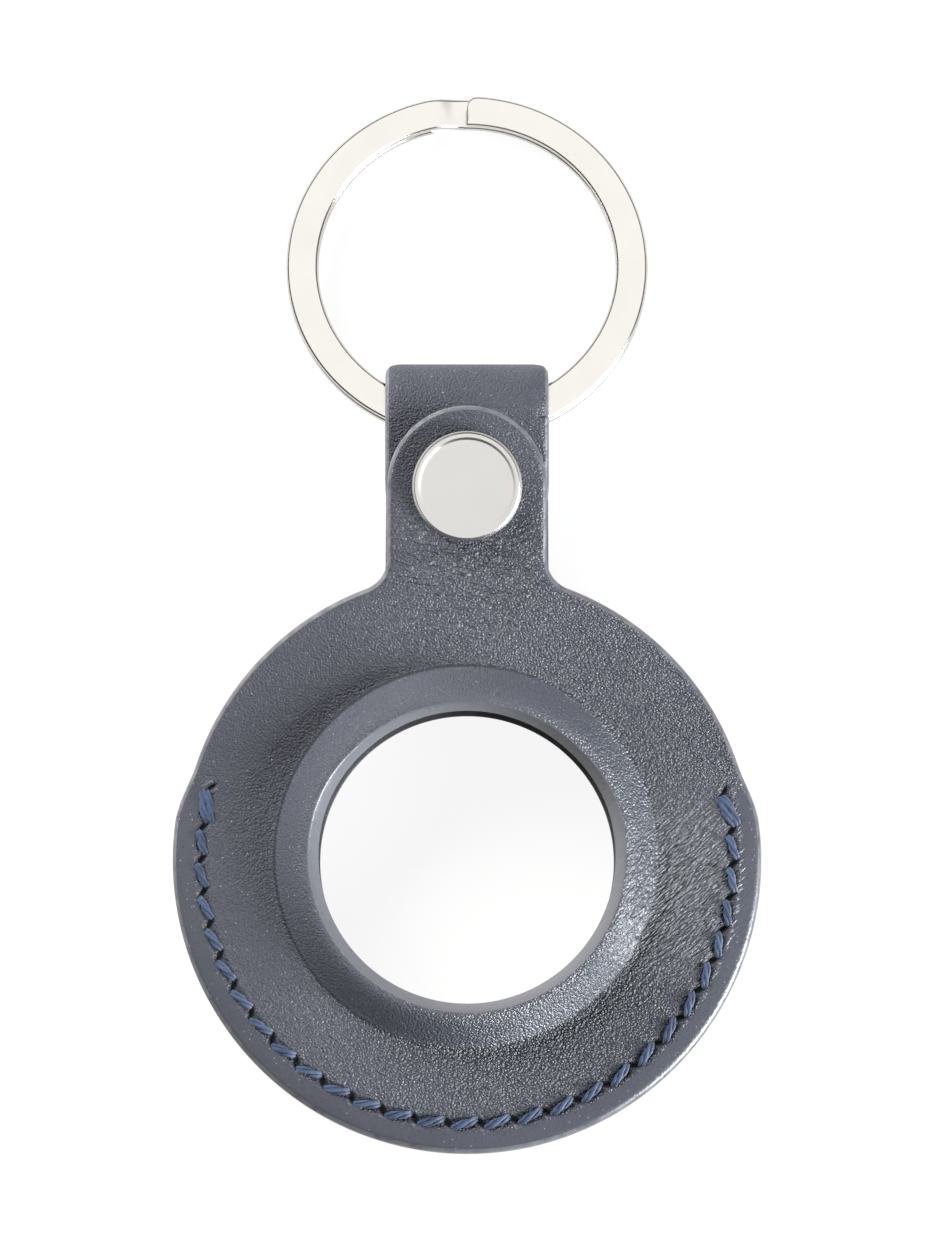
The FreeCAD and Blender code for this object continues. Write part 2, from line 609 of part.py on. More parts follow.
def make_split_ring():
    """Two turns of flat wire. The front turn dips behind the back one over the jog at the far end."""
    body = make_body("split_ring")
    coil_step = "(dims.wire_height + dims.coil_gap)"
    jog_start = "(90 + dims.jog_angle)"
    turns = make_sketch(body, "turns", "XZ_Plane", turn=jog_start)
    wire_section(turns, f"{coil_step} / 2")
    wire_section(turns, f"-{coil_step} / 2")
    revolve(body, turns, "360 - dims.jog_angle")
    sections = []
    for step in range(JOG_STEPS + 1):
        share = step / JOG_STEPS
        eased = 3 * share ** 2 - 2 * share ** 3
        station = make_sketch(body, f"jog_{step}", "XZ_Plane", turn=f"{jog_start} - {share} * dims.jog_angle")
        wire_section(station, f"(0.5 - {eased}) * {coil_step}")
        sections.append(station)
    document.recompute()
    jog = body.newObject("PartDesign::AdditiveLoft", "ring_jog")
    jog.Profile = sections[0]
    jog.Sections = sections[1:]
    corner = make_sketch(body, "end_corner", "XY_Plane")
    draw_end_corner(corner)
    document.recompute()
    rounding = body.newObject("PartDesign::Pocket", "end_rounding")
    rounding.Profile = corner
    rounding.Reversed = True
    bind(rounding, Length=coil_step)
    body.Placement = FreeCAD.Placement(FreeCAD.Vector(), FreeCAD.Rotation(FreeCAD.Vector(-1, 0, 0), 1))
    bind(body,
         Placement__Rotation__Angle="fit.ring_tilt",
         Placement__Base__y="fit.fold_distance + fit.ring_offset * cos(fit.ring_tilt)",
         Placement__Base__z="fit.fold_radius - fit.ring_offset * sin(fit.ring_tilt)")
    document.recompute()
    return body


def write_parts(pieces):
    """Checks every object, then writes one file for each piece."""
    document.recompute()
    for item in document.Objects:
        if {"Invalid", "Error"} & set(item.State):
            raise RuntimeError(f"{item.Name} did not recompute: {item.State}")
    for piece in pieces:
        if piece.Shape.isNull() or not piece.Shape.isValid() or not piece.Shape.Solids:
            raise RuntimeError(f"{piece.Label} has no valid solid")
    os.makedirs("parts", exist_ok=True)
    for piece in pieces:
        piece.Shape.exportStep(f"parts/{piece.Label}.step")
        print(f"{piece.Label}: {len(piece.Shape.Solids)} solids, {piece.Shape.Volume:.1f} mm3")


holder_pieces = [
    make_back_panel(),
    make_front_panel(),
    make_front_leaf(),
    make_strap_end(),
    *make_snap(),
    make_stitches("needle_thread", "fit.front_face", upward=True),
    make_stitches("bobbin_thread", "fit.back_face", upward=False),
    make_split_ring(),
]
write_parts(holder_pieces)
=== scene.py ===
"""Looks of the leather tag holder: moulded leathers, sewn thread, snap and split ring.

X runs to the right, Y from the window towards the ring, Z up out of the front, as in the frame.
Sizes are in millimetres and degrees, and each mesh is scaled to metres when it is finished.
A leather is cut flat as a blank, with its grain side at level 0, and then moulded and bent into place.
"""
import math

import bmesh
import bpy
from mathutils import Matrix, Vector


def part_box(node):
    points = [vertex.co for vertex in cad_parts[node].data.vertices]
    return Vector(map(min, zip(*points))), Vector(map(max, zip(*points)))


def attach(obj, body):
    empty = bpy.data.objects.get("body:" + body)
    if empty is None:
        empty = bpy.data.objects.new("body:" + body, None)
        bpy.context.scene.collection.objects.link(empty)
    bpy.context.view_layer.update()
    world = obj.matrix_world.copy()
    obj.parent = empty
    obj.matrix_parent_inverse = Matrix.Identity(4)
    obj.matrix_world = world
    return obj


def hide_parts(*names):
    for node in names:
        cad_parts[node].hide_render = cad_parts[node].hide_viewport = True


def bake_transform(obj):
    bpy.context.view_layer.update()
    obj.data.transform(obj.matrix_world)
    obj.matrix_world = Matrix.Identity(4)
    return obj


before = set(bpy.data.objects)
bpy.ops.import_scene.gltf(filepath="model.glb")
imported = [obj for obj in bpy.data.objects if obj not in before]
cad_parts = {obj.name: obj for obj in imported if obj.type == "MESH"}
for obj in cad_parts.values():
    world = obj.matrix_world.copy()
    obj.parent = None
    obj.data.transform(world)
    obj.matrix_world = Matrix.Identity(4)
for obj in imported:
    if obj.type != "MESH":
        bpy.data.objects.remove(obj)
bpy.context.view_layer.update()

MM = 0.001

# Sizes that the frame gives.
SEWN_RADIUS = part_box("front_panel")[1].x / MM
CREST_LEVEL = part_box("front_panel")[1].z / MM
SEAM_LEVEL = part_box("front_panel")[0].z / MM
STRAP_HALF_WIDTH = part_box("strap_end")[1].x / MM
RING_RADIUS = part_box("split_ring")[1].x / MM

# Leathers.
LEATHER = 1.4
LEAF_RADIUS = 25.9
WINDOW_RADIUS = 13.3
CREST_INNER_RADIUS = 14.2
CREST_OUTER_RADIUS = 14.9
RIM_FOOT_RADIUS = 17.4
TAB_HALF_WIDTH = 7.2
NECK_FILLET = 3.0
FLEX_LINE = 7.0
FLEX_REACH = 3.0
KINK_LOW, KINK_HIGH = 3.2, 8.6
FRONT_FACE = SEAM_LEVEL + LEATHER
BACK_FACE = SEAM_LEVEL - LEATHER
RIM_RISE = CREST_LEVEL - FRONT_FACE
RIM_SLOPE = RIM_RISE / (RIM_FOOT_RADIUS - CREST_OUTER_RADIUS)
RIM_MITRE = math.tan(math.atan(RIM_SLOPE) / 2)
CREST_ROUNDING = 0.6
FOOT_ROUNDING = 0.35
EDGE_ROUNDING = 0.55
CREASED_ROUNDING = 0.12
FOLD_ROUNDING = 0.55
FOLD_CORNER = 1.6
BORDER_DROP = 0.4
BORDER_GAP = 0.4
RIM_SMOOTHNESS = 0.5
WINDOW_SLANT_REACH = 2.0

# Fold of the strap and tilt of the leaf.
FOLD_DISTANCE = 41.0
FOLD_INNER_RADIUS = 3.1
FOLD_RADIUS = FOLD_INNER_RADIUS + LEATHER
FOLD_MIDDLE_RADIUS = FOLD_INNER_RADIUS + LEATHER / 2
FOLD_ROUNDING_START = FOLD_DISTANCE - 3
FOLD_ROUNDING_FULL = FOLD_DISTANCE + 2
NECK_BEND_DISTANCE = 26.0
NECK_BEND_RADIUS = 8.0
NECK_LEVEL = BACK_FACE + LEATHER / 2
SNAP_DISTANCE = 33.6
SNAP_GAP = 2.5
FLAP_SLIT = 0.3
FOLD_REACH = FOLD_DISTANCE - FLEX_LINE
FOLD_DROP = FRONT_FACE - FOLD_RADIUS
LEAF_TILT = (math.asin((LEATHER + SNAP_GAP + FOLD_RADIUS) / math.hypot(FOLD_REACH, FOLD_DROP))
             - math.atan2(FOLD_DROP, FOLD_REACH))
FLAP_START = (FLEX_LINE + FOLD_REACH * math.cos(LEAF_TILT) - FOLD_DROP * math.sin(LEAF_TILT)) - FLAP_SLIT
FLAP_FACE = FRONT_FACE - LEATHER - SNAP_GAP
BEND_RISE = FOLD_RADIUS - NECK_LEVEL + NECK_BEND_RADIUS
BEND_REACH = FOLD_DISTANCE - NECK_BEND_DISTANCE
NECK_BEND = (math.asin((NECK_BEND_RADIUS + FOLD_MIDDLE_RADIUS) / math.hypot(BEND_REACH, BEND_RISE))
             - math.atan2(BEND_RISE, BEND_REACH))

# Stitches, and the slits and groove that they leave. END_SLIT and GROOVE_FADE are in stitches.
STITCH_RADIUS = 24.0
STITCH_COUNT = 29
STITCH_START = math.radians(169.8)
STITCH_SPAN = math.radians(199.4)
STITCH_PITCH = STITCH_SPAN / (STITCH_COUNT - 1)
STITCH_LENGTH = 2.6
STITCH_SLANT = math.radians(17)
PLY_RADIUS = 0.19
PLY_OFFSET = 0.21
PLIES = 3
PLY_TWIST = math.radians(230)
THREAD_FLATNESS = 0.6
DOUBLED_LENGTH = 1.35
DOUBLED_SPREAD = 0.3
DOUBLED_SHIFT = 0.12
STITCH_LIFT = 0.06
STITCH_DIP = 0.45
STITCH_TAPER = 0.5
END_SLIT = 0.72
SLIT_DEPTH = 0.35
SLIT_HALF_WIDTH = 0.18
SLIT_HALF_LENGTH = 0.55
LIP_HEIGHT = 0.09
LIP_DISTANCE = 0.42
LIP_HALF_WIDTH = 0.15
GROOVE_DEPTH = 0.2
GROOVE_HALF_WIDTH = 0.42
GROOVE_FADE = 0.2
DENT_REACH = 1.2

# Snap cap and the head of its post, which lies under the socket's plate.
CAP_RADIUS = 5.0
CAP_HEIGHT = 1.2
CAP_CHAMFER = 0.3
CAP_CHAMFER_HEIGHT = 0.4
CAP_DISH = 0.2
CAP_DISH_TOP_RADIUS = 4.45
CAP_DISH_RADIUS = 4.1
CAP_ROUNDING = 0.11
SOCKET_PLATE = 0.3
POST_HEAD = 0.3
POST_HEAD_RADIUS = 2.0

# Split ring.
RING_BAND = 2.95
WIRE_HEIGHT = 0.85
WIRE_CHAMFER = 0.26
WIRE_ROUNDING = 0.13
COIL_GAP = 0.1
COIL_STEP = WIRE_HEIGHT + COIL_GAP
JOG_END = math.radians(90)
JOG_SPAN = math.radians(13)
END_ROUNDING = 1.0
END_SPAN = math.radians(5)
RING_CLEARANCE = 0.3
TABLE_GAP = 0.05
COIL_STEPS = 240
JOG_STEPS = 24
END_STEPS = 16

# Grid of the blanks: spokes round the window, which go on as the columns of the neck.
SPOKES = 720
SECTORS = 24
HOLE_COLUMNS = 8
HOLE_RADIUS = 1.5
EDGE_MARGIN = 0.6
GRID_STEP = 0.34
MERGE_DISTANCE = GRID_STEP / 100

# Angles between faces past which an edge is shaded sharp, rounded on metal, or taken as a leather's cut edge.
SHARP_ANGLE = math.radians(50)
CORNER_ANGLE = math.radians(20)
CUT_ANGLE = math.radians(60)

# Spots on the front leather: pulled grain, creases of the neck, loosest grain and middle of the rim.
PULL_ANGLE = math.radians(40)
PULL_SPOT = (20.5, -3.0, FRONT_FACE)
CREASE_SPOT = (0, 26.5, 9.5)
LOOSE_SPOT = (15.0, -5.0, FRONT_FACE)
RIM_SPOT = (0, 0, FRONT_FACE)

# Camera: the photograph's frame, seen from a little below the holder's middle.
FRAME_HEIGHT_PX = 1245
PX_PER_MM = 11.0
CAMERA_LEAN = math.radians(9)
CAMERA_DISTANCE = 450
AIM = Vector((0, 21.4, FRONT_FACE))


def smooth_step(low, high, amount):
    """0 up to the low amount and 1 from the high one on, with a smooth rise between them."""
    share = min(max((amount - low) / (high - low), 0), 1)
    return share * share * (3 - 2 * share)


def smooth_min(first, second, softness):
    """The lesser of two amounts, rounded off where they pass each other."""
    overlap = max(softness - abs(first - second), 0) / softness
    return min(first, second) - overlap * overlap * softness / 4


def tilt_about_flex_line():
    """The turn that brings the flat leaf up to where it lies on the strap's fold."""
    pivot = Vector((0, FLEX_LINE, FRONT_FACE))
    return Matrix.Translation(pivot) @ Matrix.Rotation(LEAF_TILT, 4, "X") @ Matrix.Translation(-pivot)


def finish_piece(name, bm, materials, replaced):
    """Turns a mesh in millimetres into a piece of the object that stands for CAD nodes."""
    bm.normal_update()
    for face in bm.faces:
        face.smooth = True
    for edge in bm.edges:
        edge.smooth = edge.calc_face_angle(0) < SHARP_ANGLE
    bm.transform(Matrix.Scale(MM, 4))
    mesh = bpy.data.meshes.new(name)
    bm.to_mesh(mesh)
    bm.free()
    for material in materials:
        mesh.materials.append(material)
    piece = bpy.data.objects.new(name, mesh)
    bpy.context.scene.collection.objects.link(piece)
    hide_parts(*replaced)
    return piece


# Blanks


def ring_radii():
    """Rings of the disc's grid: close together at the stitches, with room for the rounded edge outside."""
    radii = [CREST_INNER_RADIUS]
    while radii[-1] < STITCH_RADIUS - 1:
        radii.append(radii[-1] + GRID_STEP)
    while radii[-1] < STITCH_RADIUS + 0.8:
        radii.append(radii[-1] + GRID_STEP / 2)
    return radii + [SEWN_RADIUS - 1.2, SEWN_RADIUS - EDGE_MARGIN, SEWN_RADIUS]


def cut_disc(bm):
    """A flat ring of leather round the window. It is trimmed a little above the flex line."""
    sector = bmesh.new()
    spoke = [sector.verts.new((0, -radius, 0)) for radius in ring_radii()]
    edges = [sector.edges.new(pair) for pair in zip(spoke, spoke[1:])]
    bmesh.ops.spin(sector, geom=spoke + edges, cent=(0, 0, 0), axis=(0, 0, 1), angle=math.tau / SECTORS,
                   steps=SPOKES // SECTORS)
    mesh = bpy.data.meshes.new("sector")
    sector.to_mesh(mesh)
    sector.free()
    for _ in range(SECTORS):
        bm.from_mesh(mesh)
        mesh.transform(Matrix.Rotation(math.tau / SECTORS, 4, "Z"))
    bpy.data.meshes.remove(mesh)
    bmesh.ops.remove_doubles(bm, verts=bm.verts, dist=MERGE_DISTANCE)
    for vert in bm.verts:
        radius = vert.co.length
        trim = (SEWN_RADIUS - LEAF_RADIUS) * smooth_step(KINK_LOW, KINK_HIGH, vert.co.y)
        outward = max(radius - RIM_FOOT_RADIUS, 0) / (SEWN_RADIUS - RIM_FOOT_RADIUS)
        vert.co *= 1 - trim * outward / radius


def neck_columns(half_width):
    """Columns of a neck each side of its middle: the disc's spokes up to where the fillet meets its edge."""
    return int(math.asin((half_width + NECK_FILLET) / (LEAF_RADIUS + NECK_FILLET)) * SPOKES / math.tau)


def neck_row(bm, columns):
    """The disc's outer edges where the neck leaves it, with their columns numbered across."""
    column = bm.verts.layers.int.new("column")
    row = set()
    for vert in bm.verts:
        number = round(math.atan2(vert.co.x, vert.co.y) * SPOKES / math.tau)
        if abs(number) <= columns and vert.co.length > LEAF_RADIUS - EDGE_MARGIN / 2:
            vert[column] = number
            row.add(vert)
    return [edge for edge in bm.edges if row.issuperset(edge.verts)]


def column_place(number, columns, half_width):
    """Distance of one column from the middle line. The outermost leaves room for the rounded edge."""
    size = abs(number)
    if size <= HOLE_COLUMNS:
        place = HOLE_RADIUS * size / HOLE_COLUMNS
    elif size < columns:
        share = (size - HOLE_COLUMNS) / (columns - 1 - HOLE_COLUMNS)
        place = HOLE_RADIUS + (half_width - EDGE_MARGIN - HOLE_RADIUS) * share
    else:
        place = half_width
    return math.copysign(place, number)


def grow_row(bm, edges, half_width, side, bow=0.0, hole=0.0):
    """Extends a strip by one row, at a distance along it, bowed in the middle or dipped round a hole."""
    column = bm.verts.layers.int["column"]
    grown = bmesh.ops.extrude_edge_only(bm, edges=edges)["geom"]
    verts = {item for item in grown if isinstance(item, bmesh.types.BMVert)}
    columns = max(vert[column] for vert in verts)
    for vert in verts:
        x = column_place(vert[column], columns, half_width)
        dip = math.sqrt(max(HOLE_RADIUS ** 2 - x ** 2, 0))
        vert.co = (x, side + bow * (1 - (x / half_width) ** 2) - hole * dip, 0)
    return [item for item in grown if isinstance(item, bmesh.types.BMEdge) and verts.issuperset(item.verts)]


def clear_fillet_edges(bm, columns, centre, turn):
    """Moves the grid inwards from the cut edge of the neck's fillets, to leave room for the rounding."""
    column = bm.verts.layers.int["column"]
    for vert in bm.verts:
        arm = Vector((abs(vert.co.x), vert.co.y, 0)) - centre
        inward = arm.length - NECK_FILLET
        if abs(vert[column]) == columns or inward > 2 * EDGE_MARGIN:
            continue
        if 0 <= math.atan2(-arm.y, -arm.x) <= turn:
            spot = centre + arm.normalized() * (NECK_FILLET + EDGE_MARGIN + inward / 2)
            vert.co = (math.copysign(spot.x, vert.co.x), spot.y, 0)


def grow_neck(bm, half_width):
    """The neck's fillets. Returns its last row and how far along it lies."""
    columns = neck_columns(half_width)
    edges = neck_row(bm, columns)
    fillet_x = half_width + NECK_FILLET
    fillet_y = math.sqrt((LEAF_RADIUS + NECK_FILLET) ** 2 - fillet_x ** 2)
    turn = math.atan2(fillet_y, fillet_x)
    steps = 12
    for step in range(1, steps + 1):
        angle = turn * (1 - step / steps)
        side = fillet_y - NECK_FILLET * math.sin(angle)
        middle = LEAF_RADIUS + (fillet_y + GRID_STEP - LEAF_RADIUS) * step / steps
        edges = grow_row(bm, edges, fillet_x - NECK_FILLET * math.cos(angle), side, middle - side)
    clear_fillet_edges(bm, columns, Vector((fillet_x, fillet_y, 0)), turn)
    return edges, fillet_y


def grow_strip(bm, edges, half_width, start, end, hole=0.0):
    """Straight rows from start to end along the strip. The last ones can dip round a snap's hole."""
    steps = math.ceil(abs(end - start) / GRID_STEP)
    for step in range(1, steps + 1):
        share = step / steps
        edges = grow_row(bm, edges, half_width, start + (end - start) * share,
                         GRID_STEP * (1 - share) if start < end else 0, hole * share ** 3)
    return edges


def round_off(bm, edges, turn):
    """A round end about the snap's hole, spun from the right half of the last row to the left half."""
    right = [edge for edge in edges if min(vert.co.x for vert in edge.verts) > HOLE_RADIUS - GRID_STEP / 4]
    verts = list(dict.fromkeys(vert for edge in right for vert in edge.verts))
    bmesh.ops.spin(bm, geom=verts + right, cent=(0, SNAP_DISTANCE, 0), axis=(0, 0, 1), angle=turn, steps=64)
    bmesh.ops.remove_doubles(bm, verts=bm.verts, dist=MERGE_DISTANCE)


def cut_edge_kind(edge, seam):
    """Which cut edge of a flat blank this is, if it is one that gets rounded."""
    if edge.calc_face_angle(0) < CUT_ANGLE:
        return None
    middle = (edge.verts[0].co + edge.verts[1].co) / 2
    if seam is not None and abs(middle.y - seam) < GRID_STEP / 10:
        return None
    if middle.xy.length < RIM_FOOT_RADIUS:
        return "window"
    return "grain" if middle.z > -LEATHER / 2 else "flesh"


def thicken(bm, seam=None):
    """Gives a flat blank its thickness and rounds its cut edges, apart from a seam at that distance."""
    lower = bmesh.ops.extrude_face_region(bm, geom=bm.faces[:], use_keep_orig=True)["geom"]
    bmesh.ops.translate(bm, verts=[item for item in lower if isinstance(item, bmesh.types.BMVert)],
                        vec=(0, 0, -LEATHER))
    bmesh.ops.recalc_face_normals(bm, faces=bm.faces)
    for group, rounding, segments in (("grain", EDGE_ROUNDING, 4), ("flesh", CREASED_ROUNDING, 2),
                                      ("window", CREASED_ROUNDING, 2)):
        edges = [edge for edge in bm.edges if cut_edge_kind(edge, seam) == group]
        bmesh.ops.bevel(bm, geom=edges, offset=rounding, offset_type="OFFSET", segments=segments,
                        profile=0.5, affect="EDGES", material=-1)
    for face in bm.faces:
        face.normal_update()
        face.material_index = 0 if face.normal.z > 0.95 else 1 if face.normal.z < -0.95 else 2


# Moulding and bending


def rim_height(radius):
    """Rise of the moulded rim over the flat leather."""
    slope = RIM_SLOPE * (RIM_FOOT_RADIUS - radius)
    return -smooth_min(0, -smooth_min(RIM_RISE, slope, CREST_ROUNDING), FOOT_ROUNDING)


def sewn_share(y):
    """1 in the sewn part below the last stitches, and 0 above them."""
    return 1 - smooth_step(FLEX_LINE - 1.5, FLEX_LINE + 0.5, y)


def needle_dent(x, y):
    """Depth that the thread and the needle's slits press into the leather, less the slits' raised lips."""
    outward = math.hypot(x, y) - STITCH_RADIUS
    row = (math.atan2(y, x) - STITCH_START + STITCH_PITCH) % math.tau / STITCH_PITCH - 1
    if abs(outward) > DENT_REACH or row > STITCH_COUNT:
        return 0.0
    if row < 0:
        past_slit = row + END_SLIT
    elif row > STITCH_COUNT - 1:
        past_slit = row - STITCH_COUNT + 1 - END_SLIT
    else:
        past_slit = row % 1 - 0.5
    along = past_slit * STITCH_PITCH * STITCH_RADIUS
    lengthwise = (along + outward) / math.sqrt(2)
    crosswise = (along - outward) / math.sqrt(2)
    within = math.exp(-(lengthwise / SLIT_HALF_LENGTH) ** 4)
    slit = SLIT_DEPTH * math.exp(-(crosswise / SLIT_HALF_WIDTH) ** 2)
    lip = LIP_HEIGHT * math.exp(-((abs(crosswise) - LIP_DISTANCE) / LIP_HALF_WIDTH) ** 2)
    from_end = min(row, STITCH_COUNT - 1 - row)
    groove = GROOVE_DEPTH * math.exp(-(outward / GROOVE_HALF_WIDTH) ** 4)
    groove *= smooth_step(-END_SLIT, -END_SLIT + GROOVE_FADE, from_end)
    return groove + (slit - lip) * within


def mould(bm):
    """Presses the rim, the border and the stitches into a blank, and slants the window's cut edge."""
    pressed = bm.verts.layers.float.new("pressed")
    reach = bm.verts.layers.float.new("reach")
    smoothed = bm.verts.layers.float.new("smoothed")
    for vert in bm.verts:
        x, y, level = vert.co
        depth = -level
        radius = math.hypot(x, y)
        vert[reach] = radius
        if radius < RIM_FOOT_RADIUS + 1:
            past_foot = smooth_step(RIM_FOOT_RADIUS - 0.3, RIM_FOOT_RADIUS + 0.2, radius)
            vert[smoothed] = RIM_SMOOTHNESS * (1 - past_foot)
            level += rim_height(radius + depth * RIM_MITRE)
            near = 1 - smooth_step(CREST_INNER_RADIUS, CREST_INNER_RADIUS + WINDOW_SLANT_REACH, radius)
            shift = (CREST_INNER_RADIUS - WINDOW_RADIUS) * depth / LEATHER * near
            x, y = x * (1 - shift / radius), y * (1 - shift / radius)
        elif radius < SEWN_RADIUS + 0.1:
            surface = 1 - depth / LEATHER
            border_start = STITCH_RADIUS + BORDER_GAP
            border = max(radius - border_start, 0) / (SEWN_RADIUS - border_start)
            vert[pressed] = needle_dent(x, y)
            vert[smoothed] = smooth_step(0, 0.3, border) * sewn_share(y)
            drop = BORDER_DROP * border ** 2 * sewn_share(y) + vert[pressed]
            level -= drop * surface
        vert.co = (x, y, level)


def bend_leaf(bm):
    """Bends the front leather up about the flex line, over a short reach each side of it."""
    bend_radius = FLEX_REACH / math.tan(LEAF_TILT / 2)
    tilted = tilt_about_flex_line()
    start = FLEX_LINE - FLEX_REACH
    for vert in bm.verts:
        x, y, z = vert.co
        if y >= FLEX_LINE + FLEX_REACH:
            vert.co = tilted @ vert.co
        elif y > start:
            angle = LEAF_TILT * (y - start) / (2 * FLEX_REACH)
            arm = bend_radius - (z - FRONT_FACE)
            vert.co = (x, start + arm * math.sin(angle), FRONT_FACE + bend_radius - arm * math.cos(angle))


def strap_spot(along, offset):
    """Where a spot of the strap comes to lie: a distance along its middle, and one towards its inside."""
    left = along - NECK_BEND_DISTANCE
    if left <= 0:
        return along, NECK_LEVEL + offset
    arc = NECK_BEND_RADIUS * NECK_BEND
    if left < arc:
        angle = left / NECK_BEND_RADIUS
        arm = NECK_BEND_RADIUS + offset
        return (NECK_BEND_DISTANCE + arm * math.sin(angle),
                NECK_LEVEL - NECK_BEND_RADIUS + arm * math.cos(angle))
    left -= arc
    sine, cosine = math.sin(NECK_BEND), math.cos(NECK_BEND)
    run_start = Vector((NECK_BEND_DISTANCE + NECK_BEND_RADIUS * sine,
                        NECK_LEVEL - NECK_BEND_RADIUS * (1 - cosine)))
    run_end = Vector((FOLD_DISTANCE - FOLD_MIDDLE_RADIUS * sine, FOLD_RADIUS - FOLD_MIDDLE_RADIUS * cosine))
    run = (run_end - run_start).length
    if left < run:
        spot = run_start.lerp(run_end, left / run) + offset * Vector((sine, cosine))
        return spot.x, spot.y
    left -= run
    turn = math.pi + NECK_BEND + LEAF_TILT
    angle = min(left / FOLD_MIDDLE_RADIUS, turn)
    heading = angle - math.pi / 2 - NECK_BEND
    arm = FOLD_MIDDLE_RADIUS - offset
    past = max(left - FOLD_MIDDLE_RADIUS * turn, 0)
    return (FOLD_DISTANCE + arm * math.cos(heading) - past * math.cos(LEAF_TILT),
            FOLD_RADIUS + arm * math.sin(heading) - past * math.sin(LEAF_TILT))


def strap_length():
    """Distance along the strap's middle from the window's centre to the flap."""
    sine, cosine = math.sin(NECK_BEND), math.cos(NECK_BEND)
    run = math.hypot(BEND_REACH - (FOLD_MIDDLE_RADIUS + NECK_BEND_RADIUS) * sine,
                     BEND_RISE - (FOLD_MIDDLE_RADIUS + NECK_BEND_RADIUS) * cosine)
    fold = FOLD_MIDDLE_RADIUS * (math.pi + NECK_BEND + LEAF_TILT)
    return NECK_BEND_DISTANCE + NECK_BEND_RADIUS * NECK_BEND + run + fold + FLAP_SLIT


def make_front_leather(materials):
    """The front disc, neck and tab in one sheet, bent up at the flex line to where the leaf lies."""
    bm = bmesh.new()
    cut_disc(bm)
    edges, start = grow_neck(bm, TAB_HALF_WIDTH)
    edges = grow_strip(bm, edges, TAB_HALF_WIDTH, start, SNAP_DISTANCE, hole=1.0)
    round_off(bm, edges, math.pi)
    thicken(bm)
    mould(bm)
    bmesh.ops.translate(bm, verts=bm.verts, vec=(0, 0, FRONT_FACE))
    bend_leaf(bm)
    piece = finish_piece("front_leather", bm, materials, ["front_panel", "front_leaf"])
    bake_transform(piece)


def make_back_leather(materials):
    """The back disc and its strap, up to the end of the fold round the ring, with the grain side outwards."""
    bm = bmesh.new()
    cut_disc(bm)
    edges, start = grow_neck(bm, STRAP_HALF_WIDTH)
    end = strap_length()
    grow_strip(bm, edges, STRAP_HALF_WIDTH, start, end)
    thicken(bm, seam=end)
    mould(bm)
    for vert in bm.verts:
        x, along, level = vert.co
        offset = -level - LEATHER / 2
        if along > NECK_BEND_DISTANCE:
            near_side = max(abs(x) - STRAP_HALF_WIDTH + FOLD_CORNER, 0) / FOLD_CORNER
            folded = smooth_step(FOLD_ROUNDING_START, FOLD_ROUNDING_FULL, along)
            drop = FOLD_ROUNDING * (1 - math.sqrt(max(1 - near_side ** 2, 0))) * folded
            offset += drop * (0.5 - offset / LEATHER)
        vert.co = (x, *strap_spot(along, offset))
    bmesh.ops.reverse_faces(bm, faces=bm.faces)
    piece = finish_piece("back_leather", bm, materials, ["back_panel"])
    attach(piece, "holder")


def make_strap_flap(materials):
    """The end of the strap past the fold, round about the hole for the snap's stud."""
    bm = bmesh.new()
    column = bm.verts.layers.int.new("column")
    row = []
    columns = neck_columns(STRAP_HALF_WIDTH)
    for number in range(-columns, columns + 1):
        vert = bm.verts.new((column_place(number, columns, STRAP_HALF_WIDTH), FLAP_START, 0))
        vert[column] = number
        row.append(vert)
    edges = [bm.edges.new(pair) for pair in zip(row, row[1:])]
    edges = grow_strip(bm, edges, STRAP_HALF_WIDTH, FLAP_START, SNAP_DISTANCE, hole=-1.0)
    round_off(bm, edges, -math.pi)
    thicken(bm, seam=FLAP_START)
    bmesh.ops.translate(bm, verts=bm.verts, vec=(0, 0, FLAP_FACE))
    bm.transform(tilt_about_flex_line())
    piece = finish_piece("strap_flap", bm, materials, ["strap_end"])
    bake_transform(piece)


# Thread


def twisted_thread():
    """A straight length of thread along X: plies twisted about each other, with closed ends."""
    bm = bmesh.new()
    steps = 26
    for ply in range(PLIES):
        circle = bmesh.ops.create_circle(bm, segments=8, radius=PLY_RADIUS)["verts"]
        bmesh.ops.transform(bm, verts=circle, matrix=Matrix.Rotation(math.pi / 2, 4, "Y"))
        bmesh.ops.translate(bm, verts=circle, vec=(-STITCH_LENGTH / 2, 0, PLY_OFFSET))
        bmesh.ops.rotate(bm, verts=circle, cent=(0, 0, 0),
                         matrix=Matrix.Rotation(math.tau * ply / PLIES, 3, "X"))
        edges = list(dict.fromkeys(edge for vert in circle for edge in vert.link_edges))
        bmesh.ops.contextual_create(bm, geom=circle)
        spun = bmesh.ops.spin(bm, geom=circle + edges, cent=(0, 0, 0), axis=(1, 0, 0),
                              dvec=(STITCH_LENGTH / steps, 0, 0), angle=PLY_TWIST, steps=steps)
        bmesh.ops.contextual_create(bm, geom=[item for item in spun["geom_last"]
                                              if isinstance(item, bmesh.types.BMVert)])
    bmesh.ops.recalc_face_normals(bm, faces=bm.faces)
    mesh = bpy.data.meshes.new("twisted_thread")
    bm.to_mesh(mesh)
    bm.free()
    return mesh


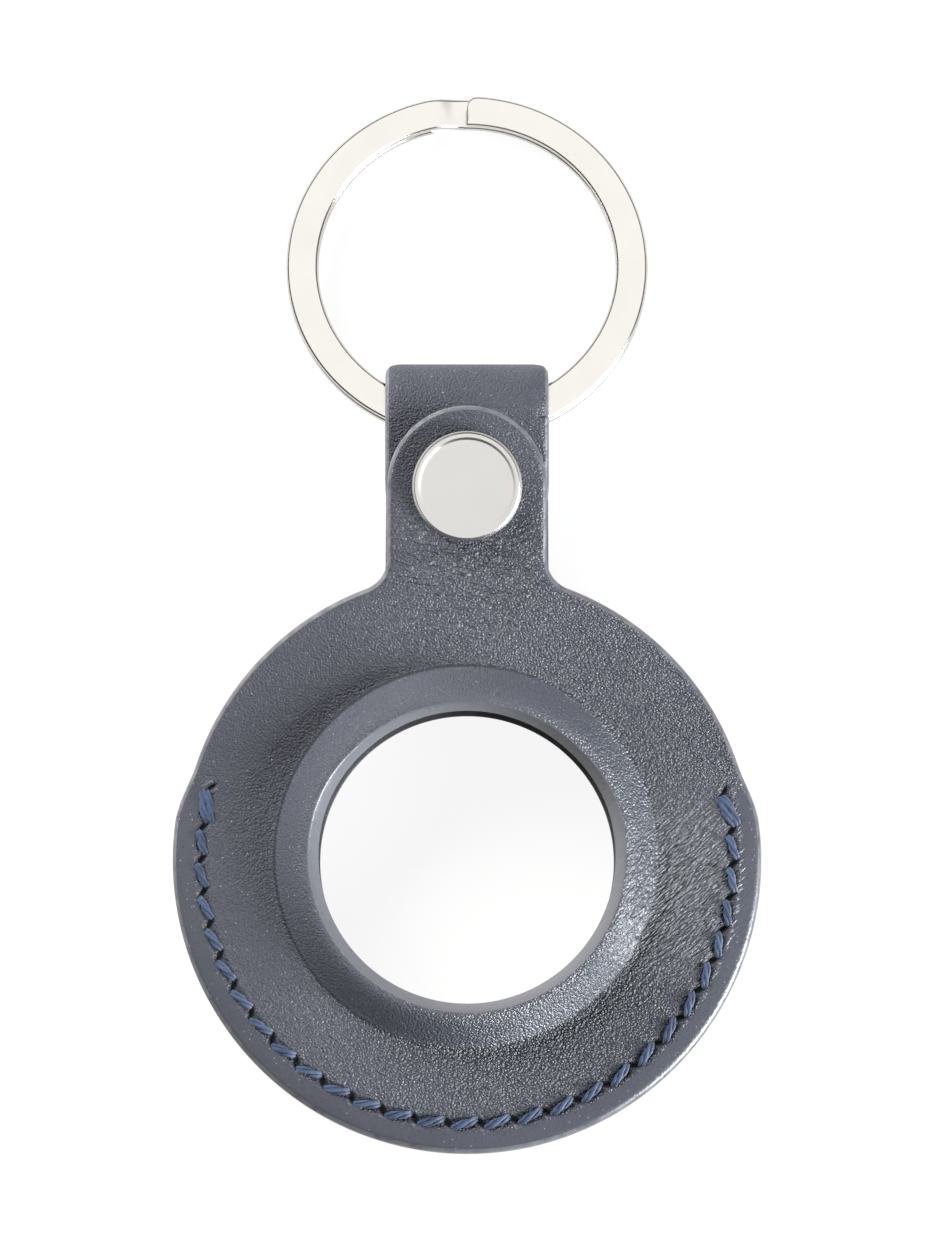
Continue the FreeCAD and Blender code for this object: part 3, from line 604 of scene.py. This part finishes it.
def lay_stitch(verts, number, level, upward, length=1.0, aside=0.0):
    """Arches a straight thread over the leather, slanted, with its ends in the needle's slits."""
    for vert in verts:
        share = 2 * vert.co.x / STITCH_LENGTH
        taper = 1 - STITCH_TAPER * abs(share) ** 4
        height = (vert.co.z * THREAD_FLATNESS + STITCH_LIFT) * taper - STITCH_DIP * abs(share) ** 5
        along = vert.co.x * length
        outward = (STITCH_RADIUS - along * math.sin(STITCH_SLANT) + vert.co.y * taper
                   + aside * (1 - share * share / 2))
        turn = STITCH_START + STITCH_PITCH * number + along * math.cos(STITCH_SLANT) / STITCH_RADIUS
        rise = height if upward else -height
        vert.co = (outward * math.cos(turn), outward * math.sin(turn), level + rise)


def make_thread(name, node, level, upward, material):
    """One face's row of stitches. The first and the last are sewn twice, side by side."""
    bm = bmesh.new()
    thread = twisted_thread()
    row = [(number, 1.0, 0.0) for number in range(1, STITCH_COUNT - 1)]
    for number in (-DOUBLED_SHIFT, STITCH_COUNT - 1 + DOUBLED_SHIFT):
        row += [(number, DOUBLED_LENGTH, -DOUBLED_SPREAD), (number, DOUBLED_LENGTH, DOUBLED_SPREAD)]
    for number, length, aside in row:
        before = len(bm.verts)
        bm.from_mesh(thread)
        bm.verts.ensure_lookup_table()
        lay_stitch(bm.verts[before:], number, level, upward, length, aside)
    bpy.data.meshes.remove(thread)
    if upward:
        bmesh.ops.reverse_faces(bm, faces=bm.faces)
    piece = finish_piece(name, bm, [material], [node])
    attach(piece, "holder")


# Metal


def make_snap_cap(material):
    """The snap's cap with its rolled rim and dished face, and the post under it."""
    top = FRONT_FACE + CAP_HEIGHT
    dish = top - CAP_DISH
    head_top = SEAM_LEVEL - SOCKET_PLATE
    head_foot = head_top - POST_HEAD
    profile = [(0, head_foot), (POST_HEAD_RADIUS, head_foot), (POST_HEAD_RADIUS, head_top),
               (HOLE_RADIUS, head_top), (HOLE_RADIUS, FRONT_FACE), (CAP_RADIUS - CAP_CHAMFER, FRONT_FACE),
               (CAP_RADIUS, FRONT_FACE + CAP_CHAMFER_HEIGHT), (CAP_RADIUS, top - CAP_CHAMFER_HEIGHT),
               (CAP_RADIUS - CAP_CHAMFER, top), (CAP_DISH_TOP_RADIUS, top), (CAP_DISH_RADIUS, dish),
               (0, dish)]
    bm = bmesh.new()
    verts = [bm.verts.new((radius, 0, level)) for radius, level in profile]
    edges = [bm.edges.new(pair) for pair in zip(verts, verts[1:])]
    bmesh.ops.spin(bm, geom=verts + edges, cent=(0, 0, 0), axis=(0, 0, 1), angle=math.tau, steps=128,
                   use_merge=True)
    bmesh.ops.remove_doubles(bm, verts=bm.verts, dist=MERGE_DISTANCE)
    bmesh.ops.recalc_face_normals(bm, faces=bm.faces)
    corners = [edge for edge in bm.edges if edge.calc_face_angle(0) > CORNER_ANGLE]
    bmesh.ops.bevel(bm, geom=corners, offset=CAP_ROUNDING, offset_type="OFFSET", segments=4, profile=0.5,
                    affect="EDGES", material=-1)
    bmesh.ops.translate(bm, verts=bm.verts, vec=(0, SNAP_DISTANCE, 0))
    bm.transform(tilt_about_flex_line())
    piece = finish_piece("snap_cap_shell", bm, [material], ["snap_cap"])
    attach(piece, "front_leaf")


def wire_section(bm, level):
    """The flat wire's section with its corners taken off, standing on the X axis."""
    inner, outer = RING_RADIUS - RING_BAND, RING_RADIUS
    low, high = level - WIRE_HEIGHT / 2, level + WIRE_HEIGHT / 2
    corners = [(inner + WIRE_CHAMFER, low), (outer - WIRE_CHAMFER, low), (outer, low + WIRE_CHAMFER),
               (outer, high - WIRE_CHAMFER), (outer - WIRE_CHAMFER, high), (inner + WIRE_CHAMFER, high),
               (inner, high - WIRE_CHAMFER), (inner, low + WIRE_CHAMFER)]
    verts = [bm.verts.new((radius, 0, z)) for radius, z in corners]
    edges = [bm.edges.new((verts[index - 1], verts[index])) for index in range(len(verts))]
    return verts, edges


def spin_wire(bm, level, start, turn, steps):
    """One stretch of the wire about the ring's axis. Returns the corners of its first section."""
    verts, edges = wire_section(bm, level)
    bmesh.ops.rotate(bm, verts=verts, cent=(0, 0, 0), matrix=Matrix.Rotation(start, 3, "Z"))
    bmesh.ops.spin(bm, geom=verts + edges, cent=(0, 0, 0), axis=(0, 0, 1), angle=turn, steps=steps)
    return verts


def ring_place():
    """How the ring lies: drawn out against the fold at its clearance, with its far side down on the table."""
    half_height = WIRE_HEIGHT + COIL_GAP / 2
    slack = math.sqrt((FOLD_INNER_RADIUS - RING_CLEARANCE) ** 2 - half_height ** 2)
    reach = math.sqrt((RING_RADIUS - RING_BAND) ** 2 - STRAP_HALF_WIDTH ** 2) + slack
    tilt = (math.asin((FOLD_RADIUS - TABLE_GAP) / math.hypot(reach + RING_RADIUS, half_height))
            - math.atan2(half_height, reach + RING_RADIUS))
    place = Vector((0, FOLD_DISTANCE + reach * math.cos(tilt), FOLD_RADIUS - reach * math.sin(tilt)))
    return Matrix.Translation(place) @ Matrix.Rotation(-tilt, 4, "X")


def make_split_ring(materials):
    """Two turns of flat wire, with the jog where the front turn dips behind the other."""
    bm = bmesh.new()
    jog_start = JOG_END + JOG_SPAN
    turn = math.tau - JOG_SPAN
    front_end = spin_wire(bm, COIL_STEP / 2, JOG_END, -END_SPAN, END_STEPS)
    for vert in bm.verts:
        short = max(END_ROUNDING - abs(vert.co.x), 0)
        if vert.co.xy.length > RING_RADIUS - RING_BAND / 2:
            vert.co.y -= END_ROUNDING - math.sqrt(END_ROUNDING ** 2 - short ** 2)
    spin_wire(bm, COIL_STEP / 2, jog_start, turn - END_SPAN, COIL_STEPS)
    back_end = spin_wire(bm, -COIL_STEP / 2, jog_start, turn, COIL_STEPS)
    for end in (front_end, back_end):
        for face in bmesh.ops.contextual_create(bm, geom=end)["faces"]:
            face.material_index = 1
    before = set(bm.verts)
    spin_wire(bm, 0, jog_start, -JOG_SPAN, JOG_STEPS)
    for vert in set(bm.verts) - before:
        share = (jog_start - math.atan2(vert.co.y, vert.co.x)) / JOG_SPAN
        vert.co.z += COIL_STEP * (0.5 - smooth_step(0, 1, share))
    bmesh.ops.remove_doubles(bm, verts=bm.verts, dist=MERGE_DISTANCE)
    bmesh.ops.recalc_face_normals(bm, faces=bm.faces)
    corners = [edge for edge in bm.edges if edge.calc_face_angle(0) > CORNER_ANGLE]
    bmesh.ops.bevel(bm, geom=corners, offset=WIRE_ROUNDING, offset_type="OFFSET", segments=4, profile=0.5,
                    affect="EDGES", material=-1)
    bm.transform(ring_place())
    piece = finish_piece("split_ring_wire", bm, materials, ["split_ring"])
    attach(piece, "key_ring")


# Materials


class Nodes:
    """The nodes of a material or world, with short ways to add and link them."""

    def __init__(self, owner):
        owner.use_nodes = True
        self.tree = owner.node_tree

    def add(self, kind, inputs, **settings):
        node = self.tree.nodes.new(kind)
        for name, setting in settings.items():
            setattr(node, name, setting)
        for name, content in inputs.items():
            self.feed(node.inputs[name], content)
        return node

    def feed(self, socket, content):
        if isinstance(content, bpy.types.NodeSocket):
            self.tree.links.new(content, socket)
        else:
            socket.default_value = content

    def math(self, operation, first, second=0.0, third=0.0):
        return self.add("ShaderNodeMath", {0: first, 1: second, 2: third}, operation=operation).outputs[0]

    def seen_by(self, *kinds):
        """1 for rays from the camera and for the other kinds of ray that are named."""
        path = self.add("ShaderNodeLightPath", {})
        share = path.outputs["Is Camera Ray"]
        for name in kinds:
            share = self.math("MAXIMUM", share, path.outputs[name])
        return share


class Shading(Nodes):
    """A material under construction, with its patterns measured in millimetres."""

    def __init__(self, name):
        self.material = bpy.data.materials.new(name)
        super().__init__(self.material)
        self.shader = self.tree.nodes["Principled BSDF"]
        coordinates = self.add("ShaderNodeTexCoord", {})
        self.place = self.add("ShaderNodeMapping", {"Vector": coordinates.outputs["Object"],
                                                    "Scale": (1 / MM, 1 / MM, 1 / MM)}).outputs[0]

    def stretched(self, stretch, turn):
        """Coordinates in which a pattern comes out longer along its axes, turned about Z."""
        inputs = {"Vector": self.place, "Rotation": (0, 0, turn), "Scale": stretch}
        return self.add("ShaderNodeMapping", inputs, vector_type="TEXTURE").outputs[0]

    def noise(self, scale, detail=2.0, stretch=(1.0, 1.0, 1.0), turn=0.0):
        """Noise with a number of features for each millimetre."""
        return self.add("ShaderNodeTexNoise", {"Vector": self.stretched(stretch, turn), "Scale": scale,
                                               "Detail": detail}).outputs["Fac"]

    def cells(self, scale, stretch=(1.0, 1.0, 1.0), turn=0.0):
        """Distance from the middles of cells, of which a number lie along each millimetre."""
        return self.add("ShaderNodeTexVoronoi", {"Vector": self.stretched(stretch, turn), "Scale": scale},
                        feature="F1").outputs["Distance"]

    def ridges(self, scale, stretch, turn):
        """Thin crease lines along the middle heights of a stretched noise."""
        height = self.math("ABSOLUTE", self.math("SUBTRACT", self.noise(scale, 2.0, stretch, turn), 0.5))
        return self.spread(height, 0.0, 0.05, 1.0, 0.0)

    def attribute(self, name):
        return self.add("ShaderNodeAttribute", {}, attribute_name=name).outputs["Fac"]

    def spread(self, amount, low, high, to_low, to_high):
        """Maps a range of amounts to another, held at its ends."""
        return self.add("ShaderNodeMapRange", {"Value": amount, "From Min": low, "From Max": high,
                                               "To Min": to_low, "To Max": to_high}).outputs["Result"]

    def distance(self, spot):
        """Distance in millimetres from a spot."""
        measure = self.add("ShaderNodeVectorMath", {0: self.place, 1: spot}, operation="DISTANCE")
        return measure.outputs["Value"]

    def near(self, spot, full, none):
        """1 within one distance of a spot, falling to 0 at another."""
        return self.spread(self.distance(spot), full, none, 1.0, 0.0)

    def blend(self, share, first, second):
        """One amount passing into another."""
        return self.add("ShaderNodeMix", {0: share, 2: first, 3: second}, data_type="FLOAT").outputs[0]

    def mix(self, share, first, second):
        node = self.add("ShaderNodeMix", {0: share}, data_type="RGBA")
        self.feed(node.inputs[6], first)
        self.feed(node.inputs[7], second)
        return node.outputs[2]

    def bump(self, height, depth, normal=None, strength=1.0):
        """Relief of a depth in millimetres."""
        inputs = {"Height": height, "Distance": depth * MM, "Strength": strength}
        if normal:
            inputs["Normal"] = normal
        return self.add("ShaderNodeBump", inputs).outputs[0]

    def finish(self, **inputs):
        for name, content in inputs.items():
            self.feed(self.shader.inputs[name.replace("_", " ")], content)
        return self.material


def grain_leather():
    """Fine pebbled slate leather, smooth on the rim and border and creased at the neck, with painted light: a
    lighter rim, glints, highlights on creases and the slits' lips, and painted shade in the slits, the
    thread's groove and where the rim's slope meets the flat.
    """
    look = Shading("slate_grain_leather")
    pulled = look.near(PULL_SPOT, 4.0, 11.0)
    pebble = look.blend(pulled, look.cells(4.8), look.cells(4.0, (2.6, 0.75, 1.0), PULL_ANGLE))
    pits = look.spread(look.cells(2.6), 0.12, 0.22, 1.0, 0.0)
    painted_glints = look.spread(look.cells(1.7), 0.06, 0.1, 1.0, 0.0)
    mottle = look.noise(0.12, 4.0)
    fine = look.noise(6.0, 3.0)
    rim = look.near(RIM_SPOT, RIM_FOOT_RADIUS - 0.3, RIM_FOOT_RADIUS + 0.3)
    pressed = look.attribute("pressed")
    smoothed = look.attribute("smoothed")
    unsmoothed = look.math("SUBTRACT", 1.0, smoothed)
    from_foot = look.math("ABSOLUTE", look.math("SUBTRACT", look.attribute("reach"), RIM_FOOT_RADIUS))
    painted_foot_shade = look.spread(from_foot, 0.05, 0.2, 1.0, 0.0)
    creases = look.ridges(0.6, (2.0, 0.5, 1.0), math.radians(-6))
    creases = look.math("MULTIPLY", creases, look.spread(look.distance(CREASE_SPOT), 3.0, 9.0, 0.5, 0.0))
    wrinkles = look.math("MULTIPLY", look.ridges(0.75, (3.5, 0.6, 1.0), PULL_ANGLE), pulled)
    lines = look.math("MULTIPLY", look.math("MAXIMUM", creases, wrinkles), unsmoothed)
    shade = look.mix(look.spread(mottle, 0.35, 0.65, 0.0, 1.0),
                     (0.037, 0.0405, 0.053, 1), (0.045, 0.049, 0.063, 1))
    # Painted light: the rim's slopes are lightened, standing in for the light that they catch.
    shade = look.mix(look.math("MULTIPLY", rim, 0.22), shade, (0.085, 0.09, 0.11, 1))
    shade = look.mix(look.spread(pebble, 0.15, 0.55, 0.0, 0.4), shade, (0.028, 0.030, 0.039, 1))
    shade = look.mix(look.math("MULTIPLY", pits, 0.8), shade, (0.014, 0.015, 0.02, 1))
    # Painted highlights: light specks that stand in for glints on the grain.
    shade = look.mix(look.math("MULTIPLY", painted_glints, 0.6), shade, (0.35, 0.36, 0.4, 1))
    # Painted highlight: the crease lines are lightened as well as raised in relief.
    shade = look.mix(look.math("MULTIPLY", lines, 0.3), shade, (0.25, 0.255, 0.275, 1))
    # Painted highlight on the raised lips beside the needle's slits.
    shade = look.mix(look.spread(pressed, -0.03, -0.08, 0.0, 0.4), shade, (0.22, 0.225, 0.24, 1))
    # Painted shade in the needle's slits and along the thread's groove.
    shade = look.mix(look.spread(pressed, 0.08, 0.24, 0.0, 0.9), shade, (0.008, 0.009, 0.012, 1))
    # Painted shade: a dark line where the rim's slope meets the flat leather.
    shade = look.mix(look.math("MULTIPLY", painted_foot_shade, 0.8), shade, (0.01, 0.011, 0.014, 1))
    loose = look.spread(look.distance(LOOSE_SPOT), 8.0, 38.0, 1.0, 0.4)
    grain = look.math("MULTIPLY", look.spread(smoothed, 0.0, 1.0, 1.0, 0.1), loose)
    relief = look.bump(lines, 0.3)
    relief = look.bump(look.math("SUBTRACT", 1.0, pebble), 0.32, relief, grain)
    relief = look.bump(fine, 0.12, relief, grain)
    gloss = look.math("MULTIPLY", look.spread(fine, 0.3, 0.7, 0.3, 0.46),
                      look.spread(smoothed, 0.0, 0.5, 1.0, 0.87))
    return look.finish(Base_Color=shade, Roughness=gloss, Normal=relief,
                       Specular_IOR_Level=look.spread(rim, 0.0, 1.0, 0.45, 0.7))


def flesh_leather():
    """The leather's fibrous back, dyed through and napped."""
    look = Shading("napped_flesh_side")
    nap = look.noise(5.0, 5.0)
    clumps = look.noise(0.5, 3.0)
    shade = look.mix(look.spread(clumps, 0.3, 0.7, 0.0, 1.0),
                     (0.036, 0.038, 0.046, 1), (0.055, 0.057, 0.066, 1))
    return look.finish(Base_Color=shade, Roughness=look.spread(nap, 0.3, 0.7, 0.8, 0.95),
                       Normal=look.bump(nap, 0.12), Sheen_Weight=0.12)


def edge_paint():
    """Painted and burnished cut edge, semi-gloss, with slight waves, and lightened round the window as
    painted light.
    """
    look = Shading("painted_edge")
    waves = look.noise(0.9, 3.0)
    fine = look.noise(6.0, 2.0)
    shade = look.mix(look.spread(waves, 0.35, 0.65, 0.0, 1.0),
                     (0.06, 0.063, 0.074, 1), (0.095, 0.098, 0.108, 1))
    # Painted light: the window's cut edge is given a lighter, even tone for the light that its walls catch.
    shade = look.mix(look.near(RIM_SPOT, 15.0, 16.5), shade, (0.085, 0.088, 0.1, 1))
    relief = look.bump(fine, 0.015, look.bump(waves, 0.06))
    return look.finish(Base_Color=shade, Roughness=look.spread(waves, 0.3, 0.7, 0.26, 0.4), Normal=relief)


def sewing_thread():
    """Blue bonded thread with fine fibres."""
    look = Shading("blue_sewing_thread")
    fibres = look.noise(9.0, 3.0)
    tone = look.noise(0.8, 2.0)
    shade = look.mix(look.spread(tone, 0.35, 0.65, 0.0, 1.0), (0.014, 0.026, 0.058, 1), (0.03, 0.05, 0.1, 1))
    return look.finish(Base_Color=shade, Roughness=look.spread(fibres, 0.3, 0.7, 0.5, 0.7),
                       Normal=look.bump(fibres, 0.04), Sheen_Weight=0.2)


def nickel(name, shade, low_gloss, high_gloss):
    """Warm nickel plate with a faint haze and fine scratches."""
    look = Shading(name)
    haze = look.noise(0.25, 4.0)
    scratches = look.noise(2.2, 4.0, stretch=(4.0, 0.33, 1.0))
    hazy = tuple(0.96 * part for part in shade[:3]) + (1,)
    return look.finish(Base_Color=look.mix(look.spread(haze, 0.3, 0.7, 0.0, 1.0), shade, hazy), Metallic=1.0,
                       Roughness=look.spread(haze, 0.3, 0.7, low_gloss, high_gloss),
                       Normal=look.bump(scratches, 0.002))


def bare_end():
    """The cut end of the ring's wire, where the plate leaves the brass bare."""
    look = Shading("bare_brass_end")
    sawn = look.noise(5.0, 3.0)
    shade = look.mix(sawn, (0.16, 0.10, 0.06, 1), (0.34, 0.22, 0.13, 1))
    return look.finish(Base_Color=shade, Metallic=1.0, Roughness=look.spread(sawn, 0.3, 0.7, 0.4, 0.6))


def spring_steel():
    """Drawn wire of the spring in the snap's socket."""
    look = Shading("spring_steel")
    drawn = look.noise(4.0, 3.0)
    shade = look.mix(drawn, (0.48, 0.47, 0.46, 1), (0.62, 0.61, 0.6, 1))
    return look.finish(Base_Color=shade, Metallic=1.0, Roughness=look.spread(drawn, 0.3, 0.7, 0.25, 0.4))


# Stage


def make_floor():
    """A white table top. It is mostly its own white to the camera, keeps shadows, and is dimmer in metal."""
    bm = bmesh.new()
    bmesh.ops.create_grid(bm, x_segments=1, y_segments=1, size=3)
    mesh = bpy.data.meshes.new("floor")
    bm.to_mesh(mesh)
    bm.free()
    material = bpy.data.materials.new("pale_floor")
    nodes = Nodes(material)
    nodes.tree.nodes.clear()
    matt = nodes.add("ShaderNodeBsdfDiffuse", {"Color": (0.9, 0.9, 0.9, 1)})
    path = nodes.add("ShaderNodeLightPath", {})
    dimmed = nodes.math("MULTIPLY_ADD", path.outputs["Is Glossy Ray"], -0.4, 1.0)
    white = nodes.add("ShaderNodeEmission", {"Strength": dimmed})
    shown = nodes.math("MULTIPLY", nodes.seen_by("Is Transmission Ray", "Is Glossy Ray"), 0.9)
    blend = nodes.add("ShaderNodeMixShader", {0: shown, 1: matt.outputs[0], 2: white.outputs[0]})
    nodes.add("ShaderNodeOutputMaterial", {"Surface": blend.outputs[0]})
    mesh.materials.append(material)
    floor = bpy.data.objects.new("floor", mesh)
    bpy.context.scene.collection.objects.link(floor)


def make_world():
    """Soft light from all round, and a white surround with a dim horizon for reflections."""
    world = bpy.data.worlds.new("studio")
    bpy.context.scene.world = world
    nodes = Nodes(world)
    nodes.tree.nodes.clear()
    direction = nodes.add("ShaderNodeTexCoord", {})
    upward = nodes.add("ShaderNodeSeparateXYZ", {0: direction.outputs["Generated"]})
    ramp = nodes.add("ShaderNodeValToRGB", {0: upward.outputs["Z"]})
    dim, bright = ramp.color_ramp.elements
    dim.position, dim.color = 0.4, (0.04, 0.04, 0.045, 1)
    bright.position, bright.color = 0.6, (1, 1, 1, 1)
    soft = nodes.add("ShaderNodeBackground", {"Strength": 0.25})
    shown = nodes.add("ShaderNodeBackground", {"Color": ramp.outputs[0]})
    seen = nodes.seen_by("Is Glossy Ray", "Is Transmission Ray")
    blend = nodes.add("ShaderNodeMixShader", {0: seen, 1: soft.outputs[0], 2: shown.outputs[0]})
    nodes.add("ShaderNodeOutputWorld", {"Surface": blend.outputs[0]})


def make_lamp(name, place, size, power, reflected, tint):
    """A soft lamp of a width and height at a place in millimetres, aimed at the middle of the holder."""
    lamp = bpy.data.lights.new(name, "AREA")
    lamp.shape = "RECTANGLE"
    lamp.size, lamp.size_y = size[0] * MM, size[1] * MM
    lamp.energy = power
    lamp.color = tint
    item = bpy.data.objects.new(name, lamp)
    bpy.context.scene.collection.objects.link(item)
    item.location = Vector(place) * MM
    item.rotation_euler = (AIM * MM - item.location).to_track_quat("-Z", "Y").to_euler()
    item.visible_glossy = reflected


def make_camera():
    """A camera that frames the holder as the photograph does."""
    camera = bpy.data.cameras.new("camera")
    item = bpy.data.objects.new("camera", camera)
    bpy.context.scene.collection.objects.link(item)
    back = Vector((0, -math.sin(CAMERA_LEAN), math.cos(CAMERA_LEAN)))
    item.location = (AIM + back * CAMERA_DISTANCE) * MM
    item.rotation_euler = (CAMERA_LEAN, 0, 0)
    camera.lens = camera.sensor_width * CAMERA_DISTANCE / (FRAME_HEIGHT_PX / PX_PER_MM)
    camera.clip_start = CAMERA_DISTANCE * MM / 10
    bpy.context.scene.camera = item


leathers = [grain_leather(), flesh_leather(), edge_paint()]
plate = nickel("nickel_plate", (0.965, 0.935, 0.875, 1), 0.12, 0.16)
make_front_leather(leathers)
make_back_leather(leathers)
make_strap_flap(leathers)
thread = sewing_thread()
make_thread("needle_stitches", "needle_thread", FRONT_FACE, True, thread)
make_thread("bobbin_stitches", "bobbin_thread", BACK_FACE, False, thread)
make_snap_cap(nickel("nickel_cap", (0.76, 0.745, 0.715, 1), 0.2, 0.24))
make_split_ring([plate, bare_end()])
inner_finishes = {"snap_socket": plate, "snap_stud": plate, "snap_post": plate,
                  "socket_spring": spring_steel()}
for node, finish in inner_finishes.items():
    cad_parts[node].data.materials.clear()
    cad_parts[node].data.materials.append(finish)

make_floor()
make_world()
make_lamp("key_right", (430, -225, 125), (360, 180), 10.2, True, (0.95, 0.98, 1.0))
make_lamp("fill_top_left", (-220, 280, 170), (350, 220), 6.8, False, (1.0, 0.98, 0.94))
make_camera()
bpy.context.scene.view_settings.view_transform = "Standard"
